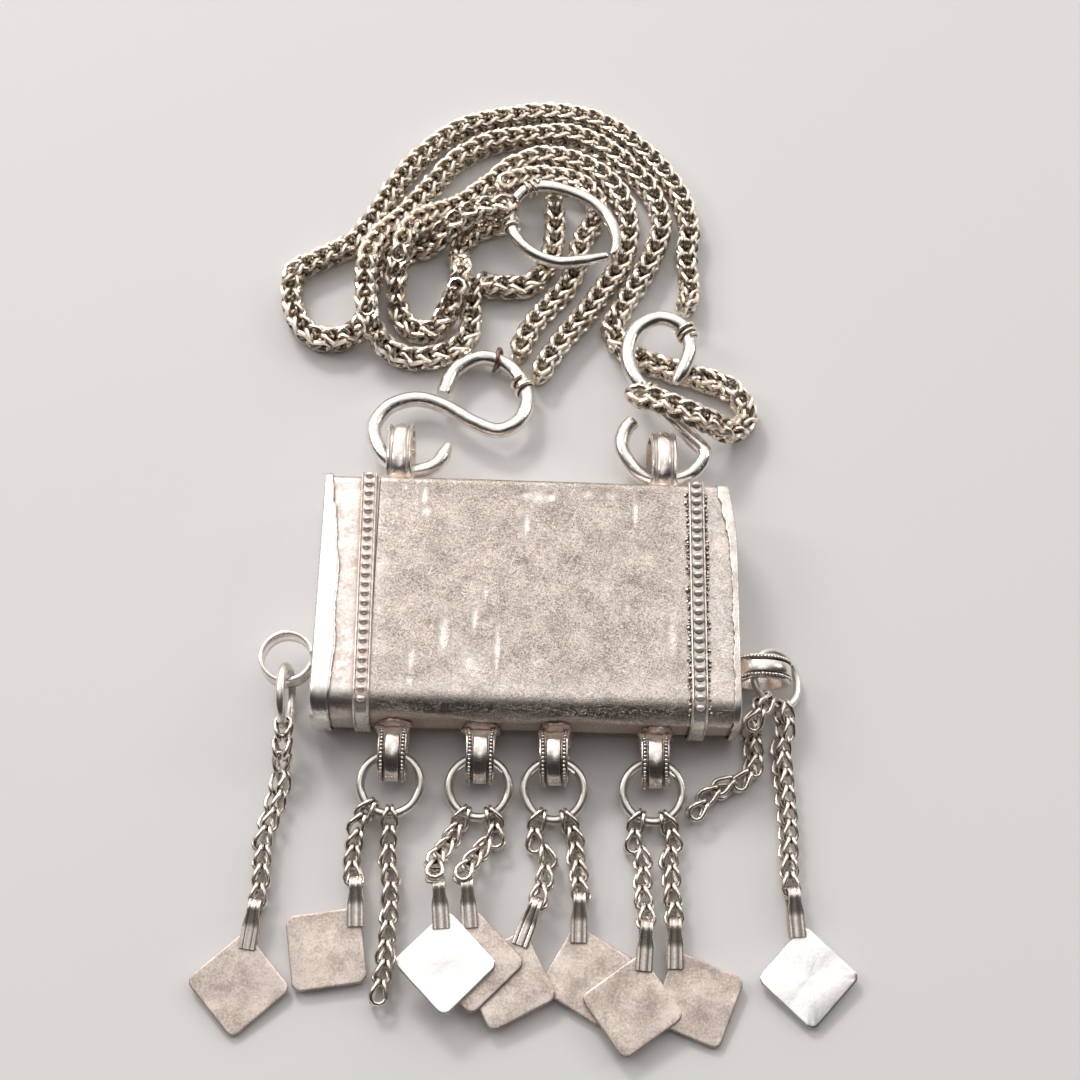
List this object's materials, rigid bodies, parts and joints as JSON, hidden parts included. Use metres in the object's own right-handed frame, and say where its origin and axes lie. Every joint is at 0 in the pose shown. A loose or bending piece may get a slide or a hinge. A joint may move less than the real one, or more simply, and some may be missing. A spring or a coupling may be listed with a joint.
{
  "type": "amulet box necklace",
  "caption": "Flat rectangular amulet box with a slip-off cap, soldered strap bails, wire rings, drop chains ending in square plates, and a coiled loop-in-loop neck chain on two S hooks",
  "frame": {"origin": "middle of the fixed band's flat underside, the lowest face of the box, on which it rests", "axes": "+X along the box away from the cap, +Y from the box towards the neck chain, +Z out of the front of the box"},
  "size_m": [0.1143, 0.1956, 0.0152],
  "materials": {
    "box_silver": "hand-planished sheet, soft sheen, dents and brown patina in the low spots",
    "cap_silver": "hand-planished sheet, a little brighter than the box",
    "end_silver": "bright burnished sheet with a wavy lip",
    "bead_silver": "cast beads, dark brown in the seams, bright crowns",
    "bail_silver": "ribbed strap with granules, pinkish brown at the solder",
    "ring_silver": "smooth drawn wire, high polish",
    "hook_silver": "forged wire, slight facets, high polish",
    "chain_silver": "loop-in-loop wire, brown-yellow patina in the recesses",
    "strap_silver": "thin folded strip, worn",
    "plate_silver": "brushed matt sheet, fine scratches",
    "link_brown": "oxidised copper-brown wire",
    "paper": "folded old paper, matt"
  },
  "bodies": {
    "box": {"box_sleeve": "box_silver", "fixed_end_plate": "end_silver", "fixed_bead_band": "bead_silver", "top_bail_left": "bail_silver", "top_bail_right": "bail_silver", "bottom_bail_1": "bail_silver", "bottom_bail_2": "bail_silver", "bottom_bail_3": "bail_silver", "bottom_bail_4": "bail_silver", "side_bail_right": "bail_silver", "clasp_ring": "hook_silver", "neck_right_outer": "chain_silver", "neck_right_inner": "chain_silver", "neck_left_outer": "chain_silver", "neck_left_inner": "chain_silver"},
    "cap": {"cap_skirt": "cap_silver", "cap_end_plate": "end_silver", "cap_bead_band": "bead_silver", "side_bail_left": "bail_silver"},
    "paper": {"prayer_paper": "paper"},
    "hook_left": {"hook_left": "hook_silver", "brown_link": "link_brown"},
    "hook_right": {"hook_right": "hook_silver", "neck_right_turn": "chain_silver"},
    "ring_1": {"ring_1": "ring_silver"},
    "ring_2": {"ring_2": "ring_silver"},
    "ring_3": {"ring_3": "ring_silver"},
    "ring_4": {"ring_4": "ring_silver"},
    "ring_left": {"ring_left": "ring_silver"},
    "ring_right": {"ring_right": "ring_silver"},
    "chain_left": {"chain_left": "chain_silver"},
    "dangle_1": {"strap_1": "strap_silver", "plate_1": "plate_silver"},
    "chain_1_short": {"chain_1_short": "chain_silver"},
    "dangle_2": {"strap_2": "strap_silver", "plate_2": "plate_silver"},
    "chain_1_long": {"chain_1_long": "chain_silver"},
    "chain_2_left": {"chain_2_left": "chain_silver"},
    "dangle_3": {"strap_3": "strap_silver", "plate_3": "plate_silver"},
    "chain_2_right": {"chain_2_right": "chain_silver"},
    "dangle_4": {"strap_4": "strap_silver", "plate_4": "plate_silver"},
    "chain_3_left": {"chain_3_left": "chain_silver"},
    "dangle_5": {"strap_5": "strap_silver", "plate_5": "plate_silver"},
    "chain_3_right": {"chain_3_right": "chain_silver"},
    "dangle_6": {"strap_6": "strap_silver", "plate_6": "plate_silver"},
    "chain_4_left": {"chain_4_left": "chain_silver"},
    "dangle_7": {"strap_7": "strap_silver", "plate_7": "plate_silver"},
    "chain_4_right": {"chain_4_right": "chain_silver"},
    "dangle_8": {"strap_8": "strap_silver", "plate_8": "plate_silver"},
    "chain_right": {"chain_right": "chain_silver"},
    "dangle_9": {"strap_9": "strap_silver", "plate_9": "plate_silver"},
    "chain_right_spare": {"chain_right_spare": "chain_silver"}
  },
  "joints": [
    {"name": "cap_slide", "type": "slide", "parent": "box", "child": "cap", "axis": [-1, 0, 0], "range_m": [0, 0.025]},
    {"name": "paper_slide", "type": "slide", "parent": "box", "child": "paper", "axis": [-1, 0, 0], "range_m": [-0.01, 0.01]},
    {"name": "hook_left_swing", "type": "hinge", "parent": "box", "child": "hook_left", "pos_m": [-0.0552, 0.028, 0.0054], "axis": [1, 0, 0], "range_deg": [0, 60]},
    {"name": "hook_right_swing", "type": "hinge", "parent": "box", "child": "hook_right", "pos_m": [-0.0058, 0.028, 0.0054], "axis": [1, 0, 0], "range_deg": [0, 60]},
    {"name": "ring_1_swing", "type": "hinge", "parent": "box", "child": "ring_1", "pos_m": [-0.0542, -0.0277, 0.0046], "axis": [-1, 0, 0], "range_deg": [0, 60]},
    {"name": "ring_2_swing", "type": "hinge", "parent": "box", "child": "ring_2", "pos_m": [-0.0385, -0.0277, 0.0038], "axis": [-1, 0, 0], "range_deg": [0, 60]},
    {"name": "ring_3_swing", "type": "hinge", "parent": "box", "child": "ring_3", "pos_m": [-0.0251, -0.0279, 0.0038], "axis": [-1, 0, 0], "range_deg": [-25, 0]},
    {"name": "ring_4_swing", "type": "hinge", "parent": "box", "child": "ring_4", "pos_m": [-0.0075, -0.0277, 0.0038], "axis": [-1, 0, 0], "range_deg": [0, 60]},
    {"name": "ring_left_swing", "type": "hinge", "parent": "cap", "child": "ring_left", "pos_m": [-0.0735, -0.01555, 0.0063], "axis": [-1, 0, 0], "range_deg": [0, 30]},
    {"name": "ring_right_swing", "type": "hinge", "parent": "box", "child": "ring_right", "pos_m": [0.01715, -0.0109, 0.006], "axis": [-1, 0, 0], "range_deg": [0, 20]},
    {"name": "chain_left_swing", "type": "hinge", "parent": "ring_left", "child": "chain_left", "pos_m": [-0.0735, -0.0233, 0.0063], "axis": [-0.0872, 0, 0.9962], "range_deg": [-25, 0]},
    {"name": "dangle_1_swing", "type": "hinge", "parent": "chain_left", "child": "dangle_1", "pos_m": [-0.0764, -0.0553, 0.00223], "axis": [-0.9929, 0.1185, 0.0089], "range_deg": [0, 40]},
    {"name": "chain_1_short_swing", "type": "hinge", "parent": "ring_1", "child": "chain_1_short", "pos_m": [-0.05746, -0.03705, 0.00308], "axis": [-0.788, 0.6077, 0.0987], "range_deg": [0, 25]},
    {"name": "dangle_2_swing", "type": "hinge", "parent": "chain_1_short", "child": "dangle_2", "pos_m": [-0.0592, -0.051, 0.00255], "axis": [-0.9988, -0.0497, -0.0037], "range_deg": [0, 30]},
    {"name": "chain_1_long_swing", "type": "hinge", "parent": "ring_1", "child": "chain_1_long", "pos_m": [-0.05402, -0.03816, 0.0029], "axis": [-0.9994, -0.0344, -0.0056], "range_deg": [0, 40]},
    {"name": "chain_2_left_swing", "type": "hinge", "parent": "ring_2", "child": "chain_2_left", "pos_m": [-0.04082, -0.03763, 0.00219], "axis": [-0.8988, 0.4327, 0.0703], "range_deg": [0, 40]},
    {"name": "dangle_3_swing", "type": "hinge", "parent": "chain_2_left", "child": "dangle_3", "pos_m": [-0.0447, -0.0518, 0.00637], "axis": [-0.9951, -0.0989, -0.0074], "range_deg": [0, 40]},
    {"name": "chain_2_right_sway", "type": "hinge", "parent": "ring_2", "child": "chain_2_right", "pos_m": [-0.03618, -0.03763, 0.00219], "axis": [0, -0.1604, 0.9871], "range_deg": [-3, 1]},
    {"name": "dangle_4_sway", "type": "hinge", "parent": "chain_2_right", "child": "dangle_4", "pos_m": [-0.0399, -0.0512, 0.00464], "axis": [0, -0.0748, 0.9972], "range_deg": [-5, 1]},
    {"name": "chain_3_left_sway", "type": "hinge", "parent": "ring_3", "child": "chain_3_left", "pos_m": [-0.02742, -0.03783, 0.00219], "axis": [0, -0.1604, 0.9871], "range_deg": [-3, 3]},
    {"name": "dangle_5_sway", "type": "hinge", "parent": "chain_3_left", "child": "dangle_5", "pos_m": [-0.0282, -0.0541, 0.00337], "axis": [0, -0.0748, 0.9972], "range_deg": [-5, 5]},
    {"name": "chain_3_right_swing", "type": "hinge", "parent": "ring_3", "child": "chain_3_right", "pos_m": [-0.02278, -0.03783, 0.00219], "axis": [-0.8988, -0.4327, -0.0703], "range_deg": [-40, 0]},
    {"name": "dangle_6_swing", "type": "hinge", "parent": "chain_3_right", "child": "dangle_6", "pos_m": [-0.0204, -0.0528, 0.00242], "axis": [-1, 0, 0], "range_deg": [-35, 0]},
    {"name": "chain_4_left_swing", "type": "hinge", "parent": "ring_4", "child": "chain_4_left", "pos_m": [-0.00982, -0.03763, 0.00219], "axis": [-0.8988, 0.4327, 0.0703], "range_deg": [0, 40]},
    {"name": "dangle_7_swing", "type": "hinge", "parent": "chain_4_left", "child": "dangle_7", "pos_m": [-0.0089, -0.0576, 0.00379], "axis": [-0.9982, 0.0596, 0.0045], "range_deg": [0, 40]},
    {"name": "chain_4_right_swing", "type": "hinge", "parent": "ring_4", "child": "chain_4_right", "pos_m": [-0.00518, -0.03763, 0.00219], "axis": [-0.8988, -0.4327, -0.0703], "range_deg": [-40, 0]},
    {"name": "dangle_8_swing", "type": "hinge", "parent": "chain_4_right", "child": "dangle_8", "pos_m": [-0.0038, -0.0568, 0.00212], "axis": [-1, 0, 0], "range_deg": [-35, 0]},
    {"name": "chain_right_swing", "type": "hinge", "parent": "ring_right", "child": "chain_right", "pos_m": [0.01617, -0.01674, 0.0036], "axis": [-0.8138, -0.2419, 0.5285], "range_deg": [0, 30]},
    {"name": "dangle_9_swing", "type": "hinge", "parent": "chain_right", "child": "dangle_9", "pos_m": [0.017, -0.051, 0.00255], "axis": [-0.9968, -0.0793, -0.0059], "range_deg": [0, 40]},
    {"name": "chain_right_spare_swing", "type": "hinge", "parent": "ring_right", "child": "chain_right_spare", "pos_m": [0.01274, -0.0161, 0.00583], "axis": [-0.7112, 0.5299, 0.4619], "range_deg": [0, 20]}
  ]
}
